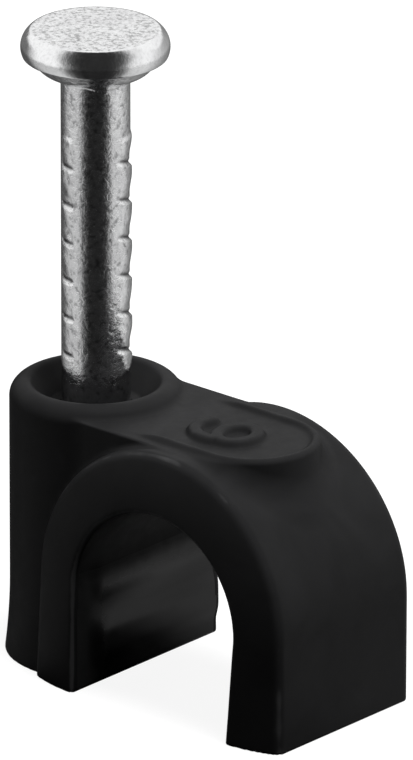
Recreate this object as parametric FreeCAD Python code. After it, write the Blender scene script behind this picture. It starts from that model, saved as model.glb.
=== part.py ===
import FreeCAD, Part
import math
import os

# Nail-in cable clip: one black moulding that hooks over a round cable, and the steel nail
# that comes set in its boss. The clip stands on its feet, the plane Z = 0, as it would on the
# wall. The cable runs along Y, the nail goes down along Z. X goes from the nail to the free leg.
# All sizes are in millimetres.

# Cable channel
CHANNEL_RADIUS = 3.0            # half the cable size that the clip is sold for
CHANNEL_CENTRE_HEIGHT = 3.2     # cable axis above the wall
CLIP_WIDTH = 6.4                # length of clip along the cable
FACE_DRAFT = 0.16               # each face leans in this much from the foot to the crown
FREE_LEG_PINCH = 0.22           # how far the free leg's inner foot leans in over the cable
MOUTH_EDGE_RADIUS = 0.15        # soft edge round the channel on both faces

# Arch
CROWN_WALL = 1.75               # wall over the top of the cable
LEG_WALL = 1.58                 # wall beside the cable
BOSS_FOOT_SPREAD = 0.19         # the leg beside the boss stands out this much at the foot
ARCH_EDGE_RADIUS = 0.5          # rounding of the arch's outer edges

# Boss that carries the nail
NAIL_TO_CABLE = 4.87            # nail axis to cable axis
BOSS_RADIUS = 2.5
BOSS_HEIGHT = 8.3
BOSS_RIM_RADIUS = 0.5           # rounding of the boss's top edge
BOSS_FOOT_FLARE = 0.15          # the boss widens this much towards its foot
BOSS_FLARE_HEIGHT = 2.3         # over this height
WELL_RADIUS = 1.93              # mouth of the dished lead-in round the nail
WELL_FLOOR_RADIUS = 1.12        # the dish narrows to this
WELL_DEPTH = 0.75
NAIL_CLEARANCE = 0.05           # radial, between the nail and its hole

# Web from the boss to the crown, and the raised size pad on it
WEB_HALF_WIDTH = 2.2
PAD_HALF_WIDTH = 1.9
PAD_REACH = 1.15                # centre of the pad's round end beyond the cable axis
PAD_START = 1.35                # the pad's rim begins this far before the cable axis
PAD_RISE = 0.18                 # rim above the crown
PAD_RIM_WIDTH = 0.25
PAD_RIM_RADIUS = 0.06           # rounding along the rim's top

# Nail
SHANK_RADIUS = 1.0
NAIL_LENGTH = 18.7              # top of the head to the tip
TIP_STAND_OFF = 0.3             # tip above the wall before the nail is driven
POINT_LENGTH = 2.6
POINT_FLAT_RADIUS = 0.12
HEAD_RADIUS = 2.14
HEAD_FLAT_RADIUS = 1.86         # flat struck face
HEAD_SHOULDER_DROP = 0.42       # from the struck face down to the widest place
HEAD_THICKNESS = 0.8            # from the struck face down to the underside's rim
HEAD_UNDERSIDE_RADIUS = 2.08
NECK_RADIUS = 1.4               # cone under the head, at its wide end
NECK_LENGTH = 0.65              # from the head's underside to the plain shank
GRIP_START = 4.0                # first notch of the grips, below the struck face
GRIP_PITCH = 1.15
GRIP_COUNT = 9
GRIP_DEPTH = 0.07
GRIP_SLANT = 0.85               # the shank slants in over this height above a notch
GRIP_STEP = 0.12                # and comes back out over this height below it
GRIP_TURN = 41.5                # the notched sides of the shank, in degrees from +X

# How far a cutting shape runs on past the surface that it cuts
OVERRUN = 1.0

# Places that follow from the sizes above
outer_radius = CHANNEL_RADIUS + LEG_WALL
crown_height = CHANNEL_CENTRE_HEIGHT + CHANNEL_RADIUS + CROWN_WALL
shoulder_height = crown_height - outer_radius
boss_foot_radius = BOSS_RADIUS + BOSS_FOOT_FLARE
clip_length = boss_foot_radius + NAIL_TO_CABLE + outer_radius
nail_x = boss_foot_radius - clip_length / 2
cable_x = nail_x + NAIL_TO_CABLE
half_width = CLIP_WIDTH / 2
bore_radius = SHANK_RADIUS + NAIL_CLEARANCE

UP = FreeCAD.Vector(0, 0, 1)
ALONG_CABLE = FreeCAD.Vector(0, 1, 0)


def at(x, z, y=0.0):
    """A point, written in the order of the side view: across, up, then along the cable."""
    return FreeCAD.Vector(x, y, z)


def line(start, end):
    return Part.LineSegment(start, end).toShape()


def arc(start, middle, end):
    return Part.Arc(start, middle, end).toShape()


def prism(edges, depth):
    """A closed side-view outline, carried along the cable and centred on Y = 0."""
    face = Part.Face(Part.Wire(edges))
    face.translate(ALONG_CABLE * (-depth / 2))
    return face.extrude(ALONG_CABLE * depth)


def turned(edges, x):
    """A closed half profile in the XZ plane, turned about the vertical line at x."""
    face = Part.Face(Part.Wire(edges))
    return face.revolve(at(x, 0), UP, 360)


def face_distance(height):
    """How far the two drafted faces stand from Y = 0 at this height."""
    return half_width - FACE_DRAFT * height / crown_height


def edges_on_faces(solid):
    """The edges that lie wholly in either of the two drafted faces, the foot's left out."""
    chosen = []
    for edge in solid.Edges:
        points = edge.discretize(3)
        in_face = all(abs(abs(point.y) - face_distance(point.z)) < 1e-5 for point in points)
        if in_face and edge.BoundBox.ZMax > 1e-6:
            chosen.append(edge)
    return chosen


def make_arch():
    """The hook: a round-topped block between two drafted faces, its outer edges rounded."""
    left = cable_x - outer_radius
    right = cable_x + outer_radius
    foot_left = at(left - BOSS_FOOT_SPREAD, 0)
    foot_right = at(right, 0)
    shoulder_left = at(left, shoulder_height)
    shoulder_right = at(right, shoulder_height)
    outline = [
        line(foot_left, shoulder_left),
        arc(shoulder_left, at(cable_x, crown_height), shoulder_right),
        line(shoulder_right, foot_right),
        line(foot_right, foot_left),
    ]
    foot = face_distance(0)
    top = face_distance(crown_height)
    corners = [at(-clip_length, 0, -foot), at(-clip_length, 0, foot)]
    corners += [at(-clip_length, crown_height, top), at(-clip_length, crown_height, -top)]
    edges = [line(a, b) for a, b in zip(corners, corners[1:] + corners[:1])]
    between_faces = Part.Face(Part.Wire(edges)).extrude(at(2 * clip_length, 0))
    block = prism(outline, 2 * CLIP_WIDTH).common(between_faces)
    return block.makeFillet(ARCH_EDGE_RADIUS, edges_on_faces(block))


def make_channel():
    """The space for the cable, open at the foot: a round top on straight sides, the free
    side leaning in."""
    below = -OVERRUN
    lean = FREE_LEG_PINCH * (CHANNEL_CENTRE_HEIGHT - below) / CHANNEL_CENTRE_HEIGHT
    left = cable_x - CHANNEL_RADIUS
    right = cable_x + CHANNEL_RADIUS
    outline = [
        line(at(left, below), at(left, CHANNEL_CENTRE_HEIGHT)),
        arc(
            at(left, CHANNEL_CENTRE_HEIGHT),
            at(cable_x, CHANNEL_CENTRE_HEIGHT + CHANNEL_RADIUS),
            at(right, CHANNEL_CENTRE_HEIGHT),
        ),
        line(at(right, CHANNEL_CENTRE_HEIGHT), at(right - lean, below)),
        line(at(right - lean, below), at(left, below)),
    ]
    return prism(outline, 2 * CLIP_WIDTH)


def soften_mouth(body, channel):
    """Rounds the channel's edges on both faces."""
    chosen = []
    for edge in edges_on_faces(body):
        middle = edge.discretize(3)[1]
        if Part.Vertex(middle).distToShape(channel)[0] < 1e-5:
            chosen.append(edge)
    return body.makeFillet(MOUTH_EDGE_RADIUS, chosen)


def make_boss():
    """The nail's housing: round, a little flared at the foot, rounded at the top."""
    axis_foot = at(nail_x, 0)
    foot = at(nail_x + boss_foot_radius, 0)
    flare_top = at(nail_x + BOSS_RADIUS, BOSS_FLARE_HEIGHT)
    flare_middle = at(nail_x + BOSS_RADIUS + BOSS_FOOT_FLARE / 4, BOSS_FLARE_HEIGHT / 2)
    side_top = at(nail_x + BOSS_RADIUS, BOSS_HEIGHT - BOSS_RIM_RADIUS)
    round_off = BOSS_RIM_RADIUS * (1 - math.sqrt(0.5))
    rim_middle = at(nail_x + BOSS_RADIUS - round_off, BOSS_HEIGHT - round_off)
    rim_top = at(nail_x + BOSS_RADIUS - BOSS_RIM_RADIUS, BOSS_HEIGHT)
    axis_top = at(nail_x, BOSS_HEIGHT)
    profile = [
        line(axis_foot, foot),
        arc(foot, flare_middle, flare_top),
        line(flare_top, side_top),
        arc(side_top, rim_middle, rim_top),
        line(rim_top, axis_top),
        line(axis_top, axis_foot),
    ]
    return turned(profile, nail_x)


def tab(half_breadth, start_x, end_centre_x, low, high):
    """An upright block with one round end, seen from above like a tongue."""
    tip = at(end_centre_x + half_breadth, low)
    outline = [
        line(at(start_x, low, -half_breadth), at(end_centre_x, low, -half_breadth)),
        arc(at(end_centre_x, low, -half_breadth), tip, at(end_centre_x, low, half_breadth)),
        line(at(end_centre_x, low, half_breadth), at(start_x, low, half_breadth)),
        line(at(start_x, low, half_breadth), at(start_x, low, -half_breadth)),
    ]
    return Part.Face(Part.Wire(outline)).extrude(UP * (high - low))


def make_web():
    """The flat bridge from the boss to the crown, level with the crown."""
    corner = at(nail_x, shoulder_height, -WEB_HALF_WIDTH)
    return Part.makeBox(NAIL_TO_CABLE, 2 * WEB_HALF_WIDTH, crown_height - shoulder_height, corner)


def make_pad():
    """The tongue that carries the cable size, and the low round-topped rim of its field."""
    end_x = cable_x + PAD_REACH
    start_x = cable_x - PAD_START
    top = crown_height + PAD_RISE
    field = tab(PAD_HALF_WIDTH, start_x, end_x, shoulder_height, crown_height)
    rim = tab(PAD_HALF_WIDTH, start_x, end_x, shoulder_height, top)
    inside = PAD_HALF_WIDTH - PAD_RIM_WIDTH
    field_space = tab(inside, start_x - OVERRUN, end_x, shoulder_height - OVERRUN, top + OVERRUN)
    rim = rim.cut(field_space)
    along_top = [edge for edge in rim.Edges if edge.BoundBox.ZMin > top - 1e-6]
    return field.fuse(rim.makeFillet(PAD_RIM_RADIUS, along_top))


def make_clip_body():
    """The whole moulding: arch, boss, web and pad, with the channel and nail hole through it."""
    body = make_arch().fuse([make_boss(), make_web(), make_pad()]).removeSplitter()
    channel = make_channel()
    body = soften_mouth(body.cut(channel), channel)
    well_floor = BOSS_HEIGHT - WELL_DEPTH
    hole = Part.makeCylinder(bore_radius, BOSS_HEIGHT + 2 * OVERRUN, at(nail_x, -OVERRUN), UP)
    well = Part.makeCone(WELL_FLOOR_RADIUS, WELL_RADIUS, WELL_DEPTH, at(nail_x, well_floor), UP)
    return body.cut([hole, well]).removeSplitter()


def make_grips(first_height):
    """Shallow bars that nick two opposite sides of the shank, one pair below another: a long
    slant down into each notch and a short step back out."""
    bars = []
    for index in range(GRIP_COUNT):
        height = first_height - index * GRIP_PITCH
        for side in (-1, 1):
            bottom = side * (SHANK_RADIUS - GRIP_DEPTH)
            mouth = side * (SHANK_RADIUS + GRIP_DEPTH)
            corners = [
                at(bottom, height),
                at(mouth, height + 2 * GRIP_SLANT),
                at(mouth, height - 2 * GRIP_STEP),
            ]
            edges = [line(a, b) for a, b in zip(corners, corners[1:] + corners[:1])]
            bars.append(prism(edges, 2 * SHANK_RADIUS))
    return bars


def make_nail():
    """A round wire nail: a thick head with a flat top and a round side, a coned neck, grips
    down two sides of the shank and a point."""
    top = NAIL_LENGTH + TIP_STAND_OFF
    underside = top - HEAD_THICKNESS
    neck = underside - NECK_LENGTH
    below_head = [
        at(HEAD_UNDERSIDE_RADIUS, underside),
        at(NECK_RADIUS, underside),
        at(SHANK_RADIUS, neck),
        at(SHANK_RADIUS, TIP_STAND_OFF + POINT_LENGTH),
        at(POINT_FLAT_RADIUS, TIP_STAND_OFF),
        at(0, TIP_STAND_OFF),
        at(0, top),
        at(HEAD_FLAT_RADIUS, top),
    ]
    edges = [line(a, b) for a, b in zip(below_head, below_head[1:])]
    side = at(HEAD_RADIUS, top - HEAD_SHOULDER_DROP)
    edges.append(arc(at(HEAD_FLAT_RADIUS, top), side, at(HEAD_UNDERSIDE_RADIUS, underside)))
    nail = turned(edges, 0).cut(make_grips(top - GRIP_START))
    nail.rotate(at(0, 0), UP, GRIP_TURN)
    nail.translate(at(nail_x, 0))
    return nail


parts = {
    "clip_body": make_clip_body(),
    "nail": make_nail(),
}

os.makedirs("parts", exist_ok=True)
for name, shape in parts.items():
    shape.exportStep("parts/" + name + ".step")
    print(name, "solids", len(shape.Solids), "valid", shape.isValid(), "volume", round(shape.Volume, 3))
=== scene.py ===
import math

import bpy
import numpy as np
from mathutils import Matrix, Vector


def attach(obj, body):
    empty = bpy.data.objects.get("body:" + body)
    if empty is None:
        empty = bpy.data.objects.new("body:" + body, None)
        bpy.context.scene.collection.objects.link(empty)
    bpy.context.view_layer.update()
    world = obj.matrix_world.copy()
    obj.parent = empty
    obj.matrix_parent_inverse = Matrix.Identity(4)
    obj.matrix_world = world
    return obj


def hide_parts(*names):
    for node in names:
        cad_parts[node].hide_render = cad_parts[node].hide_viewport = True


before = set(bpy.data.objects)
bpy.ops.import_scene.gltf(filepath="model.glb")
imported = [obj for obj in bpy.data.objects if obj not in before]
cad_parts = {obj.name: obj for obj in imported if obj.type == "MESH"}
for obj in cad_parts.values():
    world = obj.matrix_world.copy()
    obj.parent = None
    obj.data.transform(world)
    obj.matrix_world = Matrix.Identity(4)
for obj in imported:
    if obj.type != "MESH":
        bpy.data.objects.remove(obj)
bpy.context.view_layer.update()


# Camera
# A long lens, turned and raised as the photograph's is, looking down at the clip from its front
# right. Its place and its lens come from a fit to the clip's own edges.
CAMERA_AZIMUTH = math.radians(41.1636)
CAMERA_ELEVATION = math.radians(21.3682)
CAMERA_DISTANCE = 0.55
CAMERA_LENS = 912.4
CAMERA_REACH = 10.0
LOOK_AT = Vector((0.0008101, 0.0, 0.009335))


def in_scene(name, data):
    """A new object that holds this mesh, lamp or camera, linked to the scene."""
    made = bpy.data.objects.new(name, data)
    bpy.context.scene.collection.objects.link(made)
    return made


def aim(thing, place, facing):
    """Puts a lamp or camera at a place, facing this way."""
    thing.location = place
    thing.rotation_mode = "QUATERNION"
    thing.rotation_quaternion = facing.to_track_quat("-Z", "Y")


towards_camera = Vector((
    math.sin(CAMERA_AZIMUTH) * math.cos(CAMERA_ELEVATION),
    -math.cos(CAMERA_AZIMUTH) * math.cos(CAMERA_ELEVATION),
    math.sin(CAMERA_ELEVATION),
))
camera = in_scene("camera", bpy.data.cameras.new("camera"))
camera.data.lens = CAMERA_LENS
camera.data.clip_end = CAMERA_REACH
aim(camera, LOOK_AT + towards_camera * CAMERA_DISTANCE, -towards_camera)
bpy.context.scene.camera = camera
bpy.context.scene.view_settings.view_transform = "Standard"


# Studio
# White surroundings behind, above and to both sides, dark in front where a flag keeps the light off
# the nail and the clip's face, one soft lamp overhead and a pale floor that the clip stands on.
NAIL_X = -3.40
LAMP_PLACE = Vector((0.058, 0.012, 0.188))
LAMP_SIZE = 0.09
LAMP_POWER = 1.5
FLOOR_HALF_SIZE = 0.6
FLOOR_GREY = 0.82
FLOOR_WHITENED = 0.9        # how far the floor that the camera sees is plain white
FLOOR_SIDE_PAINT = 0.165        # strength of the side light painted on the floor near the clip, as its reflections see it
FLOOR_GLOW_START = 0.055         # beyond this distance the floor, as its reflections see it, glows with the side light instead
FLOOR_GLOW_FULL = 0.085
CARD_LEAN = 0.45            # how far the side cards lean in over the camera
BEHIND_FULL = -0.3          # the light above is full where a direction points this far back
ABOVE_START = 0.1           # and it rises from none to full between these two heights
ABOVE_FULL = 0.3
SIDE_TONES = [              # degrees round the nail from the camera's side, and the tone there
    (-180, 0.15), (-125, 0.17), (-108, 0.75), (-95, 1.0), (-58, 1.0), (-45, 0.35), (-35, 0.08),
    (-20, 0.025), (20, 0.025), (36, 0.06), (46, 0.28), (58, 0.88), (90, 1.0), (110, 0.7),
    (130, 0.45), (180, 0.15),
]
WHITE = (1.0, 1.0, 1.0, 1.0)


class Nodes:
    """Short way to write a node tree. Each method makes one node and links or sets its inputs:
    node gives the node itself, the others its first output."""

    def __init__(self, tree):
        self.tree = tree
        tree.nodes.clear()

    def node(self, kind, inputs=(), **settings):
        made = self.tree.nodes.new(kind)
        for name, value in settings.items():
            setattr(made, name, value)
        for key, value in dict(inputs).items():
            if isinstance(value, bpy.types.NodeSocket):
                self.tree.links.new(value, made.inputs[key])
            else:
                made.inputs[key].default_value = value
        return made

    def math(self, operation, a, b=0.0, c=0.0):
        return self.node("ShaderNodeMath", {0: a, 1: b, 2: c}, operation=operation).outputs[0]

    def between(self, value, low, high, at_low=0.0, at_high=1.0, **settings):
        """at_low where value is low, at_high where it is high, and a straight run between."""
        inputs = {0: value, 1: low, 2: high, 3: at_low, 4: at_high}
        return self.node("ShaderNodeMapRange", inputs, **settings).outputs[0]

    def ramp(self, value, stops):
        """Grey or colour steps, each stop a place from 0 to 1 and a grey or an (r, g, b)."""
        made = self.node("ShaderNodeValToRGB", {0: value})
        elements = made.color_ramp.elements
        while len(elements) < len(stops):
            elements.new(0.5)
        for element, (place, tone) in zip(elements, stops):
            element.position = place
            grey = (tone, tone, tone) if isinstance(tone, (int, float)) else tone
            element.color = (*grey, 1.0)
        return made.outputs[0]

    def mixed(self, share, first, second):
        """The first shader, with this share of the second."""
        return self.node("ShaderNodeMixShader", {0: share, 1: first, 2: second}).outputs[0]


def new_material(name):
    """A material and the Nodes of its empty tree."""
    material = bpy.data.materials.new(name)
    material.use_nodes = True
    return material, Nodes(material.node_tree)


def side_light(nodes, across, along):
    """The light from each side, read by the angle round the nail: dark towards the camera, bright
    to its left and right, dim at the back."""
    turned = nodes.math("ARCTAN2", across, nodes.math("MULTIPLY", along, -1.0))
    turned = nodes.math("SUBTRACT", turned, CAMERA_AZIMUTH)
    turned = nodes.math("WRAP", turned, math.pi, -math.pi)
    share = nodes.math("ADD", nodes.math("DIVIDE", turned, 2 * math.pi), 0.5)
    return nodes.ramp(share, [(angle / 360 + 0.5, tone) for angle, tone in SIDE_TONES])


world = bpy.data.worlds.new("studio")
bpy.context.scene.world = world
world.use_nodes = True
sky = Nodes(world.node_tree)
direction = sky.node("ShaderNodeSeparateXYZ", {0: sky.node("ShaderNodeTexCoord").outputs["Generated"]})
sky_x, sky_y, sky_z = direction.outputs
level_x, level_y = towards_camera.xy.normalized()
raised = sky.math("MULTIPLY", sky.math("MAXIMUM", sky_z, 0.0), CARD_LEAN)
leaning_x = sky.math("MULTIPLY_ADD", raised, level_x, sky_x)
leaning_y = sky.math("MULTIPLY_ADD", raised, level_y, sky_y)
sides = side_light(sky, leaning_x, leaning_y)
forward = sky.math("MULTIPLY_ADD", sky_y, level_y, sky.math("MULTIPLY", sky_x, level_x))
behind = sky.between(forward, 0.0, BEHIND_FULL, interpolation_type="SMOOTHSTEP")
high = sky.between(sky_z, ABOVE_START, ABOVE_FULL, interpolation_type="SMOOTHSTEP")
surround = sky.math("MAXIMUM", sides, sky.math("MULTIPLY", behind, high))
soft_room = sky.node("ShaderNodeBackground", {0: WHITE, 1: surround}).outputs[0]
backdrop = sky.node("ShaderNodeBackground", {0: WHITE, 1: 1.0}).outputs[0]
seen = sky.node("ShaderNodeLightPath").outputs["Is Camera Ray"]
sky.node("ShaderNodeOutputWorld", {0: sky.mixed(seen, soft_room, backdrop)})

lamp = in_scene("overhead_lamp", bpy.data.lights.new("overhead_lamp", "AREA"))
lamp.data.size = LAMP_SIZE
lamp.data.energy = LAMP_POWER
lamp.visible_glossy = False
aim(lamp, LAMP_PLACE, LOOK_AT - LAMP_PLACE)

floor_mesh = bpy.data.meshes.new("floor")
floor_corners = np.array([(-1, -1, 0), (1, -1, 0), (1, 1, 0), (-1, 1, 0)]) * FLOOR_HALF_SIZE
floor_mesh.from_pydata(floor_corners.tolist(), [], [(0, 1, 2, 3)])
floor = in_scene("floor", floor_mesh)
floor_paint, paint = new_material("pale_floor")
place = paint.node("ShaderNodeTexCoord").outputs["Object"]
floor_x, floor_y, _ = paint.node("ShaderNodeSeparateXYZ", {0: place}).outputs
# For everything but the camera the floor near the clip is painted with the side light, painted shade in
# front and painted light to the sides, and further out it glows with it
painted_room = side_light(paint, paint.math("SUBTRACT", floor_x, NAIL_X / 1000), floor_y)
near = paint.node("ShaderNodeBsdfDiffuse", {0: paint.math("MULTIPLY", painted_room, FLOOR_SIDE_PAINT)}).outputs[0]
upright = paint.node("ShaderNodeEmission", {0: painted_room, 1: 1.0}).outputs[0]
reach = paint.node("ShaderNodeVectorMath", {0: place}, operation="LENGTH").outputs[1]
reflected = paint.mixed(paint.between(reach, FLOOR_GLOW_START, FLOOR_GLOW_FULL), near, upright)
matt = paint.node("ShaderNodeBsdfDiffuse", {0: (FLOOR_GREY, FLOOR_GREY, FLOOR_GREY, 1.0)}).outputs[0]
glow = paint.node("ShaderNodeEmission", {0: WHITE, 1: 1.0}).outputs[0]
seen = paint.node("ShaderNodeLightPath").outputs["Is Camera Ray"]
floor_look = paint.mixed(seen, reflected, paint.mixed(FLOOR_WHITENED, matt, glow))
paint.node("ShaderNodeOutputMaterial", {0: floor_look})
floor_mesh.materials.append(floor_paint)


# Clip moulding
# One injection moulding in black polythene: the boss that holds the nail, the hook over the cable,
# the free leg, the web between them and the tongue-shaped pad with the cable size. Soft fillets run
# round every corner, as they come out of the mould. Sizes in millimetres.
CABLE_X = 1.47
CHANNEL_RADIUS = 3.0
CHANNEL_CENTRE_HEIGHT = 3.2
FREE_LEG_PINCH = 0.22
MOUTH_EDGE_RADIUS = 0.15
POLISH_HEIGHT = 3.6         # the channel's sides are polished up to here
POLISH_FADE = 0.8           # and the polish fades out over this height
RIBS = (                    # rise, then the heights where it starts, is full, starts to fall, ends
    (0.11, 0.35, 0.95, 1.5, 2.2),
    (0.07, 2.4, 2.9, 3.3, 4.0),
)
RIB_FRONT_FADE = (-2.55, -1.9)      # the ribs fade out towards the front face between these
RIB_TOP_FADE = (1.5, 2.5)           # and towards the channel's round top
HALF_WIDTH = 3.2
FACE_DRAFT = 0.16
FACE_DOME = 0.30
OUTER_RADIUS = 4.58
CROWN_HEIGHT = 7.95
SHOULDER_HEIGHT = CROWN_HEIGHT - OUTER_RADIUS
ARCH_EDGE_RADIUS = 0.22
BOSS_RADIUS = 2.5
BOSS_HEIGHT = 8.3
BOSS_RIM_RADIUS = 0.5
BOSS_FOOT_SPREAD = 0.19
BOSS_FOOT_FLARE = 0.15
BOSS_FLARE_HEIGHT = 2.3
WELL_RADIUS = 1.93
WELL_FLOOR_RADIUS = 1.30
WELL_DEPTH = 0.75
BORE_RADIUS = 1.05
WEB_HALF_WIDTH = 2.2
PAD_HALF_WIDTH = 1.9
PAD_START = -1.35
PAD_OVERLAP = 0.2           # how far the pad runs on into the web
PAD_END = 1.15
PAD_SLANT = 0.12
PAD_RISE = 0.13
PAD_RIM_INSET = 0.15
PAD_RIM_BREADTH = 0.13
PAD_RIM_FADE = 0.6          # the rim rises to its full height over twice this length
DIGIT_RISE = 0.19
DIGIT_STROKE = 0.22
DIGIT_EDGE_RADIUS = 0.16
WEB_FILLET = 0.16
FINE_FILLET = 0.12
PAD_TIP_FILLET = 0.40       # added to the fine fillet towards the pad's tip
PAD_TIP_SPAN = (-0.5, 2.2)  # between these places along the hook
TOP_EDGE_RADIUS = 0.05
HOLE_EDGE_RADIUS = 0.07
FOOT_EDGE_RADIUS = 0.06
HIGHLIGHT_BAND = (0.02, 0.13)    # the painted highlight on an edge falls off over this distance from its middle
MOUTH_REACH = 0.4           # an edge this near the channel gets the painted highlight in full
OUTER_HIGHLIGHT = 0.3            # and the others this much
EVENED = (0.7, 0.7, 0.0, 0.0)       # how far the skin's points are evened out, pass by pass
LONGEST_STEP = 0.04         # and the furthest that a pass moves one onto the surface
POLISH_FRONT_FADE = (1.6, 3.0)      # the polish dulls towards the front face between these
CHANNEL_SKIN = 0.14         # a face this close to the channel belongs to its polished side
FACE_MARGIN = 0.22          # where it is at least this far inside the front and back faces


def fillet_join(a, b, radius):
    """Both solids together, with a round fillet where their surfaces meet. Inside the fillet's
    reach the distance is the radius less the length of what each distance lacks of it."""
    fill = np.hypot(np.maximum(radius - a, 0), np.maximum(radius - b, 0))
    return np.maximum(radius, np.minimum(a, b)) - fill


def round_meet(a, b, radius):
    """What both solids share, with its edge rounded: the fillet_join of the two outsides."""
    return -fillet_join(-a, -b, radius)


def smooth_step(value, low, high):
    """0 below low, 1 above high, and 3t^2 - 2t^3 of the share t between them."""
    t = np.clip((value - low) / (high - low), 0, 1)
    return t * t * (3 - 2 * t)


def oval_arc(centre, radii, first, last, count):
    """Points of an oval: the centre plus each radius times the cosine or sine of an even turn."""
    turn = np.radians(np.linspace(first, last, count))
    return np.stack([centre[0] + radii[0] * np.cos(turn), centre[1] + radii[1] * np.sin(turn)], 1)


def path_distance(x, y, points):
    """Distance in plan from a path of short straight runs: the least, over the runs, of the
    distance to the nearest point of the run."""
    nearest = np.full(np.broadcast(x, y).shape, 1e9)
    for (ax, ay), (bx, by) in zip(points[:-1], points[1:]):
        run_x, run_y = bx - ax, by - ay
        t = np.clip(((x - ax) * run_x + (y - ay) * run_y) / (run_x**2 + run_y**2), 0, 1)
        nearest = np.minimum(nearest, np.hypot(x - ax - t * run_x, y - ay - t * run_y))
    return nearest


# The middle line of the figure 6, its top towards the boss: an oval loop, and a stem that leaves
# the loop's near side and hooks over at the top. Places are measured from the nail.
loop_path = oval_arc((5.50, -0.15), (0.54, 0.64), -90, 270, 33) + (NAIL_X, 0)
stem_path = oval_arc((4.98, -0.20), (0.84, 0.70), 285, 165, 21)
stem_path = np.concatenate([stem_path, [(4.22, 0.22)]]) + (NAIL_X, 0)


def hook_sides(x, z):
    """Side view of the hook: distance from a round top on straight legs, the boss's leg standing
    out a little towards the foot."""
    along = x - CABLE_X
    spread = BOSS_FOOT_SPREAD * (1 - z / SHOULDER_HEIGHT)
    legs = np.maximum(along - OUTER_RADIUS, -along - OUTER_RADIUS - spread)
    return np.where(z > SHOULDER_HEIGHT, np.hypot(along, z - SHOULDER_HEIGHT) - OUTER_RADIUS, legs)


def channel_sides(x, z, ribbed=0.0):
    """Side view of the cable channel, negative in the open space: a round top on straight sides,
    the free side leaning in. Where ribbed is 1 the boss's side swells into two low ribs."""
    along = x - CABLE_X
    pinch = FREE_LEG_PINCH * (1 - z / CHANNEL_CENTRE_HEIGHT)
    swell = sum(
        rise * smooth_step(z, start, full) * smooth_step(-z, -end, -falling)
        for rise, start, full, falling, end in RIBS
    ) * ribbed
    low = np.maximum(along - CHANNEL_RADIUS + pinch, -along - CHANNEL_RADIUS + swell)
    tunnel = np.hypot(along, z - CHANNEL_CENTRE_HEIGHT) - CHANNEL_RADIUS
    tunnel = tunnel + swell * smooth_step(-along, *RIB_TOP_FADE)
    return np.where(z > CHANNEL_CENTRE_HEIGHT, tunnel, low)


def two_faces(x, y, z):
    """Distance from the front and back faces. They lean in towards the crown, and fall away
    towards the hook's outer edge with the square of the distance from the channel."""
    flat = np.abs(y) - (HALF_WIDTH - FACE_DRAFT * z / CROWN_HEIGHT)
    wall = OUTER_RADIUS - CHANNEL_RADIUS
    return flat + FACE_DOME * np.clip(channel_sides(x, z) / wall, 0, 1.1) ** 2


def moulding(x, y, z):
    """Signed distance from the clip's surface, negative in the plastic, built up as the mould
    is: arch, boss, web and pad joined by fillets, then the channel, well and nail hole cut."""
    along = x - CABLE_X
    out = np.hypot(x - NAIL_X, y)
    arch = round_meet(hook_sides(x, z), two_faces(x, y, z), ARCH_EDGE_RADIUS)

    # Boss: a round post that flares with the square of the depth below the flare's top.
    flare = BOSS_FOOT_FLARE * np.clip(1 - z / BOSS_FLARE_HEIGHT, 0, 1.2) ** 2
    boss = round_meet(out - BOSS_RADIUS - flare, z - BOSS_HEIGHT, BOSS_RIM_RADIUS)

    # Web and pad: upright walls that stand in the arch, cut level with the crown. The pad's foot
    # blends into the crown's fall more widely towards its tip. Its rim is a ridge whose height
    # falls off as exp(-t^2), with t the distance from the ridge's middle over its breadth.
    web = np.maximum(np.abs(y) - WEB_HALF_WIDTH, np.maximum(along, NAIL_X - x))
    tongue = np.hypot(np.maximum(along - PAD_END, 0), y) - PAD_HALF_WIDTH
    slant = PAD_SLANT * np.clip(CROWN_HEIGHT - z, 0, 2)
    pad = np.maximum(tongue - slant, PAD_START - PAD_OVERLAP - along)
    body = fillet_join(arch, web, WEB_FILLET)
    pad_fillet = FINE_FILLET + PAD_TIP_FILLET * smooth_step(along, *PAD_TIP_SPAN)
    body = fillet_join(body, pad, pad_fillet)
    rim = np.exp(-(((tongue + PAD_RIM_INSET) / PAD_RIM_BREADTH) ** 2))
    rim = rim * PAD_RISE * smooth_step(along, PAD_START - PAD_RIM_FADE, PAD_START + PAD_RIM_FADE)
    body = round_meet(body, z - CROWN_HEIGHT - rim, TOP_EDGE_RADIUS)

    # Size number: raised strokes with soft edges.
    stroke = np.minimum(path_distance(x, y, loop_path), path_distance(x, y, stem_path)) - DIGIT_STROKE
    digit = round_meet(stroke, np.abs(z - CROWN_HEIGHT) - DIGIT_RISE, DIGIT_EDGE_RADIUS)
    body = fillet_join(body, digit, FINE_FILLET)
    body = fillet_join(body, boss, FINE_FILLET)

    # Cable channel, its mouth's edges rounded, its ribs short of the front face.
    ribbed = smooth_step(y, *RIB_FRONT_FADE)
    body = round_meet(body, -channel_sides(x, z, ribbed), MOUTH_EDGE_RADIUS)

    # Nail hole with its wide well, which narrows towards its floor, and the flat foot.
    well_narrows = (WELL_RADIUS - WELL_FLOOR_RADIUS) / WELL_DEPTH
    well = (out - WELL_RADIUS + (BOSS_HEIGHT - z) * well_narrows) / math.hypot(1, well_narrows)
    well = np.maximum(well, BOSS_HEIGHT - WELL_DEPTH - z)
    hole = np.minimum(well, out - BORE_RADIUS)
    body = round_meet(body, -hole, HOLE_EDGE_RADIUS)
    return round_meet(body, -z, FOOT_EDGE_RADIUS)


def edge_highlight_share(x, y, z):
    """How strong the painted highlight is on an edge between a face and the hook's side or the channel, from
    0 to 1: it falls away from the middle of the rounded edge, and is strongest at the channel's mouth."""
    sides = np.maximum(hook_sides(x, z), -channel_sides(x, z))
    near = 1 - smooth_step(np.abs(sides - two_faces(x, y, z)), *HIGHLIGHT_BAND)
    return near * np.where(channel_sides(x, z) < MOUTH_REACH, 1.0, OUTER_HIGHLIGHT)


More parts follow.
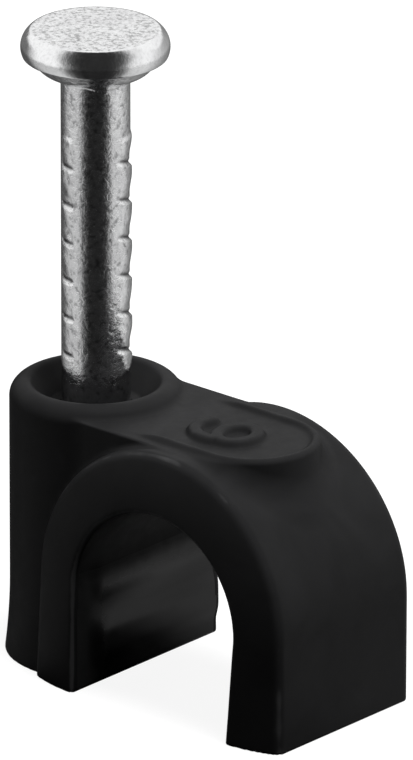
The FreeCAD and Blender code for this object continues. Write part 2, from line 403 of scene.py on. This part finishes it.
def graded(stops):
    """Grid lines from (place, spacing) stops: each stretch is split evenly at its spacing."""
    lines = [np.array([stops[0][0]])]
    for (low, spacing), (high, _) in zip(stops[:-1], stops[1:]):
        count = max(1, round((high - low) / spacing))
        lines.append(np.linspace(low, high, count + 1)[1:])
    return np.concatenate(lines)


def distance_and_slope(field, points, reach=0.004):
    """The field at each point, and its slope by central differences."""
    x, y, z = points.T
    slope = np.stack([
        field(x + reach, y, z) - field(x - reach, y, z),
        field(x, y + reach, z) - field(x, y - reach, z),
        field(x, y, z + reach) - field(x, y, z - reach),
    ], 1) / (2 * reach)
    return field(x, y, z), slope


def cell_beside(index, axis, step_b, step_c):
    """One of the four cells round each grid edge along this axis: the edge's own, or the one a
    step back in either of the two other directions."""
    cell = index.copy()
    cell[:, (axis + 1) % 3] -= step_b
    cell[:, (axis + 2) % 3] -= step_c
    return cell


def skin(field, xs, ys, zs):
    """Surface nets. Each grid cell that the surface crosses gets one point, the mean of the
    places where its twelve edges change sign, and each such edge gets one four-sided face
    between the four cells round it. The points are then evened out, each towards the middles
    of its faces, and moved onto the surface along the slope of the distance. The grid has a
    margin all round that the surface doesn't reach."""
    grids = (xs, ys, zs)
    value = field(xs[:, None, None], ys[None, :, None], zs[None, None, :])
    inside = value < 0
    cells = tuple(n - 1 for n in value.shape)
    total = np.zeros(cells + (3,))
    count = np.zeros(cells)
    crossings = []
    for axis in range(3):
        low = tuple(slice(None, -1) if k == axis else slice(None) for k in range(3))
        high = tuple(slice(1, None) if k == axis else slice(None) for k in range(3))
        crossed = inside[low] != inside[high]
        index = np.argwhere(crossed)
        t = value[low][crossed] / (value[low][crossed] - value[high][crossed])
        place = np.stack([grids[k][index[:, k]] for k in range(3)], 1)
        place[:, axis] += t * (grids[axis][index[:, axis] + 1] - grids[axis][index[:, axis]])
        for step_b, step_c in ((0, 0), (0, 1), (1, 0), (1, 1)):
            cell = tuple(cell_beside(index, axis, step_b, step_c).T)
            np.add.at(total, cell, place)
            np.add.at(count, cell, 1)
        crossings.append((axis, index, inside[low][crossed]))
    used = count > 0
    number = np.full(cells, -1)
    number[used] = np.arange(used.sum())
    points = total[used] / count[used][:, None]
    faces = []
    for axis, index, outward in crossings:
        round_edge = (cell_beside(index, axis, *steps) for steps in ((1, 1), (0, 1), (0, 0), (1, 0)))
        quads = np.stack([number[tuple(cell.T)] for cell in round_edge], 1)
        faces.append(np.where(outward[:, None], quads, quads[:, ::-1]))
    faces = np.concatenate(faces)
    for evened in EVENED:
        middles = points[faces].mean(1)
        shared = np.bincount(faces.ravel(), minlength=len(points))[:, None]
        around = [np.bincount(faces.ravel(), np.repeat(middles[:, k], 4), len(points)) for k in range(3)]
        points = points + evened * (np.stack(around, 1) / shared - points)
        distance, slope = distance_and_slope(field, points)
        step = distance / np.maximum((slope**2).sum(1), 0.2)
        points = points - slope * np.clip(step, -LONGEST_STEP, LONGEST_STEP)[:, None]
    return points, faces


def edge_bend(field, points, reach=0.09, sharpest=6):
    """How sharply the surface bends: the sum of the field's second differences, which is one
    over the radius at a rounded edge, as a share of the sharpest. It is above 0 where the
    surface stands out and below 0 in a corner."""
    x, y, z = points.T
    around = sum(
        field(x + a, y + b, z + c)
        for a, b, c in np.vstack([np.eye(3), -np.eye(3)]) * reach
    )
    return np.clip((around - 6 * field(x, y, z)) / reach**2 / sharpest, -1, 1)


def quad_mesh(name, points, faces):
    """A smooth-shaded mesh in metres from points in millimetres and four-sided faces."""
    mesh = bpy.data.meshes.new(name)
    mesh.vertices.add(len(points))
    mesh.vertices.foreach_set("co", (points * 0.001).astype(np.float32).ravel())
    mesh.loops.add(faces.size)
    mesh.loops.foreach_set("vertex_index", faces.astype(np.int32).ravel())
    mesh.polygons.add(len(faces))
    mesh.polygons.foreach_set("loop_start", np.arange(0, faces.size, 4, dtype=np.int32))
    mesh.polygons.foreach_set("use_smooth", np.full(len(faces), True))
    mesh.update(calc_edges=True)
    mesh.validate()
    return mesh


def mark_points(mesh, name, values):
    """Stores one number for each point of the mesh, for its material to read."""
    mark = mesh.attributes.new(name, "FLOAT", "POINT")
    mark.data.foreach_set("value", values.astype(np.float32))


# The grid is finest round the pad, the number and both faces. Its lines stand where no cell holds
# two sheets of the surface, so that every edge of the skin joins just two faces.
across = graded([(-6.203, 0.09), (-0.603, 0.05), (3.997, 0.08), (6.197, 0.08)])
width = graded([(-3.328, 0.05), (-2.378, 0.07), (2.422, 0.06), (3.372, 0.06)])
height = graded([(-0.12, 0.06), (0.24, 0.13), (6.004, 0.08), (7.6, 0.03), (8.2, 0.05), (8.52, 0.05)])
points, faces = skin(moulding, across, width, height)
clip_mesh = quad_mesh("clip_moulding", points, faces)
above_polish = smooth_step(points[:, 2], POLISH_HEIGHT - POLISH_FADE, POLISH_HEIGHT)
near_front = smooth_step(-points[:, 1], *POLISH_FRONT_FADE)
# The material reads the bend as a painted highlight where the surface stands out and painted shade in its
# corners
mark_points(clip_mesh, "bend", edge_bend(moulding, points))
# Painted highlight along the rounded edges, strongest at the channel's mouth
mark_points(clip_mesh, "painted_highlight", edge_highlight_share(*points.T))
mark_points(clip_mesh, "dull", np.maximum(above_polish, near_front))
clip = in_scene("clip_moulding", clip_mesh)
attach(clip, "clip")
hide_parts("clip_body")


def marked(nodes, name):
    """The number that mark_points stored under this name."""
    return nodes.node("ShaderNodeAttribute", attribute_name=name).outputs["Fac"]


def noise(nodes, scale, detail, roughness=0.5, distortion=0.0):
    """Cloudy noise in the piece's own place, its scale in cells to a metre."""
    place = nodes.node("ShaderNodeTexCoord").outputs["Object"]
    return nodes.node("ShaderNodeTexNoise", {
        "Vector": place, "Scale": scale, "Detail": detail, "Roughness": roughness,
        "Distortion": distortion,
    }).outputs[0]


def bumped(nodes, height, distance, strength=1.0, **under):
    """A normal that follows a height in metres, on top of another one if it is given."""
    inputs = {"Strength": strength, "Distance": distance, "Height": height, **under}
    return nodes.node("ShaderNodeBump", inputs).outputs[0]


def polythene(name, roughness, gloss, dulled):
    """Near-black plastic, streaked by its flow into the mould and finely grained, and rougher along the
    rounded edges, with a painted highlight along them and painted shade in its inner corners. Roughness goes
    from the first value to the second, and rises by the share dulled where the polish fades out."""
    material, moulded = new_material(name)
    # Where the painted highlight lies along the rounded edges
    edge = marked(moulded, "painted_highlight")
    flow = noise(moulded, 420.0, 4.0, distortion=1.2)
    mottle = noise(moulded, 2600.0, 5.0, 0.65)
    grain = noise(moulded, 16000.0, 3.0, 0.6)
    # Painted highlight where the surface stands out and painted shade in its corners, over the flow streaks
    tone = moulded.math("MULTIPLY_ADD", marked(moulded, "bend"), 0.12, flow)
    # The painted edge highlight, made uneven by the mottle
    highlight_strength = moulded.math("MULTIPLY_ADD", mottle, 0.7, 0.2)
    tone = moulded.math("MULTIPLY_ADD", edge, highlight_strength, tone)
    colour = moulded.ramp(tone, [
        (0.2, (0.0045, 0.0045, 0.0046)), (0.7, (0.0066, 0.0066, 0.0068)), (1.0, (0.024, 0.024, 0.0245)),
    ])
    rough = moulded.between(mottle, 0.3, 0.7, *roughness)
    rough = moulded.math("MULTIPLY_ADD", marked(moulded, "dull"), dulled, rough)
    rough = moulded.math("MULTIPLY_ADD", edge, 0.08, rough)
    normal = bumped(moulded, grain, 0.0000012, Normal=bumped(moulded, mottle, 0.000004))
    shell = moulded.node("ShaderNodeBsdfPrincipled", {
        "Base Color": colour, "Roughness": rough, "IOR": 1.46, "Specular IOR Level": gloss,
        "Normal": normal,
    })
    moulded.node("ShaderNodeOutputMaterial", {0: shell.outputs[0]})
    return material


# The outside has the mould's eroded finish, the channel's sides the polish of the pin that cored
# it, which stops short of both faces' rounded edges.
clip_mesh.materials.append(polythene("black_polythene", (0.40, 0.50), gloss=0.05, dulled=0.0))
clip_mesh.materials.append(polythene("polished_polythene", (0.16, 0.26), gloss=0.30, dulled=0.6))
middles = points[faces].mean(1)
in_channel = channel_sides(middles[:, 0], middles[:, 2]) < CHANNEL_SKIN
in_channel &= (two_faces(*middles.T) < -FACE_MARGIN) & (middles[:, 2] < POLISH_HEIGHT)
clip_mesh.polygons.foreach_set("material_index", in_channel.astype(np.int32))


# Nail
# A round wire nail, headed, grip-marked and pointed from one piece of steel wire, then zinc plated.
# It stands in the boss's well, gripped by the plastic lower down. Sizes in millimetres.
NAIL_TOP = 19.0
HEAD_FLAT_RADIUS = 1.86
HEAD_RADIUS = 2.14
HEAD_WIDEST_DROP = 0.42     # from the struck face down to the widest place
UNDERSIDE_RADIUS = 2.08
HEAD_THICKNESS = 0.8
HEAD_SIDE_POINTS = 13
SHANK_RADIUS = 1.0
BOWL = (                    # under the head: radius, drop below the struck face, rounding
    (1.87, 0.83, 0.06),
    (1.60, 1.17, 0.12),
    (1.40, 1.29, 0.12),
    (SHANK_RADIUS, 1.42, 0.10),
)
POINT_LENGTH = 2.6
POINT_FLAT_RADIUS = 0.12
TIP_HEIGHT = 0.3
AROUND = 176                # points round the nail
RING_SPACING = (            # rings of points: down to this drop, they stand this far apart
    (0.12, 0.014),
    (2.0, 0.03),
    (13.0, 0.042),
)
HIDDEN_RING_SPACING = 0.12
WEDGE_START = 1.2           # marks of the gripping dies, from here below the struck face
WEDGE_MARGIN = 0.04         # and a little below that on the neck
WEDGE_LENGTH = 0.42
WEDGE_BREADTH = 1.4         # half the breadth of a mark at its top, in radians
WEDGE_RISE = 0.07           # how far its edge stands out, within this share of a radian
WEDGE_EDGE = 0.12
WEDGE_CROWN = 0.05          # how much more its middle does
WEDGE_TURN = math.radians(-32.0)
BORE_CLEARANCE = 0.01       # left between a mark that enters the bore and its wall
IN_BORE_WHEN_DRIVEN = 17.5  # what is below this height enters the bore when the nail is driven
GRIP_START = 4.0
GRIP_PITCH = 1.15
GRIP_COUNT = 6
GRIP_FADE_IN = (-0.95, -0.75)       # the grips fade in between these, measured from the first nick
GRIP_END = GRIP_PITCH * GRIP_COUNT - 0.35
GRIP_FADE_OUT = 0.2         # and out over this length, up to their end
GRIP_SLANT = 0.32           # how far down a slanting nick runs for each unit of turn, in mm
STEP_OUT = 0.13             # share of the pitch in which the radius steps out below a nick
SLANT_BACK = (0.3, 0.85)    # and the shares between which it slants back
SLANT_SKEW = 0.55           # how much later it does where the nick is askew
GRIP_SUNK = 0.4             # share of a grip's lift that lies below the wire's surface
SHANK_STARTS = (1.9, 2.4)   # drops between which the grips' relief is let in under the head
NICK_BREADTH = 0.055
NICK_DEPTH = 0.035
GRIP_ROWS = (               # turn, cosines where the row fades in and is full, lift, slant
    (math.radians(36.0), 0.62, 0.95, 0.07, 1.0),
    (math.radians(-108.0), 0.93, 0.985, 0.05, 0.0),
)


def rounded_profile(corners, spacing):
    """A line of straight runs whose corners are arcs. Each corner is a radius, a height and a
    rounding, and its arc is a quadratic curve from a point one rounding before the corner to one
    rounding after it. The line is then read at even steps, finer where spacing(height) is
    smaller."""
    places = corners[:, :2]
    line = [places[0]]
    for before, corner, after, rounding in zip(places[:-2], places[1:-1], places[2:], corners[1:-1, 2]):
        back = before - corner
        on = after - corner
        start = corner + back / np.linalg.norm(back) * min(rounding, np.linalg.norm(back) * 0.5)
        end = corner + on / np.linalg.norm(on) * min(rounding, np.linalg.norm(on) * 0.5)
        t = np.linspace(0, 1, 9)[:, None]
        line.extend(start * (1 - t) ** 2 + corner * 2 * t * (1 - t) + end * t**2)
    line.append(places[-1])
    line = np.array(line)
    length = np.concatenate([[0], np.cumsum(np.hypot(*np.diff(line, axis=0).T))])
    fine = np.linspace(0, length[-1], 6000)
    step = spacing(np.interp(fine, length, line[:, 1]))
    count = np.concatenate([[0], np.cumsum((1 / step[1:] + 1 / step[:-1]) / 2 * np.diff(fine))])
    rows = np.interp(np.linspace(0, count[-1], round(count[-1]) + 1), count, fine)
    return np.interp(rows, length, line[:, 0]), np.interp(rows, length, line[:, 1])


def arc_through(start, middle, end, count):
    """Points of the circle through three places: the centre is where the upright bisectors of the
    two chords cross, and the points go round it in equal turns."""
    (ax, ay), (bx, by), (cx, cy) = start, middle, end
    chords = np.array([(bx - ax, by - ay), (cx - bx, cy - by)]) * 2
    squares = np.array([bx**2 + by**2 - ax**2 - ay**2, cx**2 + cy**2 - bx**2 - by**2])
    centre = np.linalg.solve(chords, squares)
    first = math.atan2(ay - centre[1], ax - centre[0])
    last = math.atan2(cy - centre[1], cx - centre[0])
    turn = np.linspace(first, last, count)
    radius = math.hypot(ax - centre[0], ay - centre[1])
    return np.stack([centre[0] + radius * np.cos(turn), centre[1] + radius * np.sin(turn)], 1)


def row_spacing(height):
    """How far apart the nail's rings of points stand: closest on the struck face's edge, then on
    the head and neck, then on the shank that shows, and widest in the hole."""
    above = [height > NAIL_TOP - drop for drop, _ in RING_SPACING]
    return np.select(above, [spacing for _, spacing in RING_SPACING], HIDDEN_RING_SPACING)


# The profile from the middle of the struck face to the tip. The side of the head is an arc, and
# the bowl under it just fits the well when the nail is driven home.
head_side = arc_through(
    (HEAD_FLAT_RADIUS, NAIL_TOP),
    (HEAD_RADIUS, NAIL_TOP - HEAD_WIDEST_DROP),
    (UNDERSIDE_RADIUS, NAIL_TOP - HEAD_THICKNESS),
    HEAD_SIDE_POINTS,
)
side_rounding = [0.07] + [0.03] * (HEAD_SIDE_POINTS - 2) + [0.08]
profile = np.vstack([
    (0.0, NAIL_TOP, 0.0),
    np.column_stack([head_side, side_rounding]),
    [(radius, NAIL_TOP - drop, rounding) for radius, drop, rounding in BOWL],
    (SHANK_RADIUS, TIP_HEIGHT + POINT_LENGTH, 0.3),
    (POINT_FLAT_RADIUS, TIP_HEIGHT, 0.04),
    (0.0, TIP_HEIGHT, 0.0),
])
radius_row, height_row = rounded_profile(profile, row_spacing)
turn = np.linspace(0, 2 * np.pi, AROUND, endpoint=False)
R, A = np.meshgrid(radius_row, turn, indexing="ij")
Z = np.repeat(height_row[:, None], AROUND, 1)

# Marks of the gripping dies under the head, on two opposite sides: a raised wedge whose breadth
# shrinks to nothing at its lower end. Its edges are a quick soft step, and its middle crowns.
below = NAIL_TOP - WEDGE_START - Z
breadth = WEDGE_BREADTH * np.clip(1 - below / WEDGE_LENGTH, 0, 1)
inside = np.maximum(breadth - np.arccos(np.clip(np.abs(np.cos(A - WEDGE_TURN)), 0, 1)), 0)
wedge = SHANK_RADIUS + WEDGE_RISE * smooth_step(inside, 0, WEDGE_EDGE)
wedge = wedge + WEDGE_CROWN * smooth_step(inside, 0, 1.0)
wedge = np.where(Z < IN_BORE_WHEN_DRIVEN, np.minimum(wedge, BORE_RADIUS - BORE_CLEARANCE), wedge)
R = np.where((below > WEDGE_MARGIN) & (below < WEDGE_LENGTH), np.maximum(R, wedge), R)

# Grips: down two sides of the shank, a row of nicks. The radius steps out just below each nick and
# slants back in towards the next. The first row is broad, deep and cut on the slant; the other is
# narrow and shallow, a little nearer the front. Products of sines of the turn and the height make
# both uneven. The nail's lower grips, in the hole, wear off as it is pushed in.
drop = NAIL_TOP - GRIP_START - Z
in_grips = smooth_step(drop, *GRIP_FADE_IN) * smooth_step(-drop, -GRIP_END, GRIP_FADE_OUT - GRIP_END)
uneven = 0.006 * np.sin(3 * A + 2.1 * Z) * np.sin(5.3 * Z + 2 * A) + 0.004 * np.sin(9 * A + 7.7 * Z + 1.3)
# Where the nicks lie, for the painted shade in them
nick_shade = np.zeros_like(R)
raised = np.zeros_like(R)
for row_turn, low, high, lift, slant in GRIP_ROWS:
    flank = smooth_step(np.cos(A - row_turn), low, high) * in_grips
    askew = slant * np.sin(row_turn - A)
    phase = np.mod((drop + GRIP_SLANT * askew) / GRIP_PITCH, 1.0)
    swell = smooth_step(phase, 0.0, STEP_OUT) * (1 - smooth_step(phase - SLANT_SKEW * askew, *SLANT_BACK))
    near_nick = np.minimum(phase, 1 - phase) * GRIP_PITCH
    nick = flank * np.exp(-((near_nick / NICK_BREADTH) ** 2))
    nick_shade += nick
    raised += flank * (lift * swell - GRIP_SUNK * lift) - NICK_DEPTH * nick + uneven * flank
on_shank = smooth_step(NAIL_TOP - Z, *SHANK_STARTS)
R = R + on_shank * raised

# The skin: rings of points joined by four-sided faces, closed by a fan at the top and at the tip.
ring_points = np.stack([NAIL_X + R * np.cos(A), R * np.sin(A), Z], 2)[1:-1]
rows = len(ring_points)
index = np.arange(rows * AROUND).reshape(rows, AROUND)
after = np.roll(index, -1, axis=1)
quads = np.stack([index[:-1], index[1:], after[1:], after[:-1]], 2).reshape(-1, 4)
top = np.full(AROUND, rows * AROUND)
fans = np.concatenate([np.stack([top, index[0], after[0]], 1), np.stack([top + 1, after[-1], index[-1]], 1)])
nail_points = np.vstack([ring_points.reshape(-1, 3), (NAIL_X, 0, NAIL_TOP), (NAIL_X, 0, TIP_HEIGHT)])
nail_mesh = bpy.data.meshes.new("nail_wire")
nail_mesh.from_pydata(nail_points * 0.001, [], quads.tolist() + fans.tolist())
nail_mesh.polygons.foreach_set("use_smooth", np.full(len(nail_mesh.polygons), True))
on_wire = smooth_step(NAIL_TOP - Z, HEAD_THICKNESS, HEAD_THICKNESS + 0.2)
on_flat = smooth_step(R, HEAD_FLAT_RADIUS, HEAD_FLAT_RADIUS - 0.06) * (Z > NAIL_TOP - 0.01)
for name, amount, at_top, at_tip in (
    ("nick_shade", nick_shade, 0, 0), ("wire", on_wire, 0, 1), ("struck", on_flat, 1, 0)
):
    mark_points(nail_mesh, name, np.concatenate([amount[1:-1].ravel(), [at_top, at_tip]]))
nail = in_scene("nail_wire", nail_mesh)
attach(nail, "nail")
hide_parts("nail")


def tinted(nodes, share, colour, tint, **settings):
    """The colour with this share of a tint laid over it."""
    inputs = {0: share, 6: colour, 7: tint}
    return nodes.node("ShaderNodeMix", inputs, data_type="RGBA", **settings).outputs[2]


# Bright zinc plate: crinkled on the wire, pocked on the struck face, with painted shade in the nicks.
zinc, plated = new_material("zinc_plated_steel")
wire = marked(plated, "wire")
struck = marked(plated, "struck")
crinkle = noise(plated, 6400.0, 4.0, 0.62, 0.3)
pits = noise(plated, 9500.0, 3.0, 0.6)
cloud = noise(plated, 1500.0, 4.0)
wire_tone = plated.ramp(crinkle, [(0.34, 0.35), (0.46, 0.90), (0.60, 1.0)])
head_tone = plated.ramp(pits, [(0.36, 0.25), (0.50, 0.85), (0.62, 1.0)])
colour = plated.ramp(cloud, [(0.3, (0.82, 0.82, 0.83)), (0.6, (0.92, 0.925, 0.93))])
colour = tinted(plated, plated.math("MULTIPLY", wire, 0.8), colour, wire_tone, blend_type="MULTIPLY")
pitted = plated.math("MULTIPLY_ADD", struck, 0.65, 0.15)
colour = tinted(plated, pitted, colour, head_tone, blend_type="MULTIPLY")
# Painted shade in the grip nicks
colour = tinted(plated, marked(plated, "nick_shade"), colour, (0.05, 0.05, 0.05, 1.0))
crinkled = bumped(plated, crinkle, 0.000015, plated.math("MULTIPLY_ADD", wire, 0.6, 0.4))
pocked = bumped(plated, pits, 0.000007, plated.math("MULTIPLY_ADD", struck, 0.75, 0.25), Normal=crinkled)
rough = plated.between(crinkle, 0.3, 0.7, 0.09, 0.22)
bright = plated.node("ShaderNodeBsdfPrincipled", {
    "Base Color": colour, "Metallic": 1.0, "Roughness": rough, "Normal": pocked,
})
plated.node("ShaderNodeOutputMaterial", {0: bright.outputs[0]})
nail_mesh.materials.append(zinc)
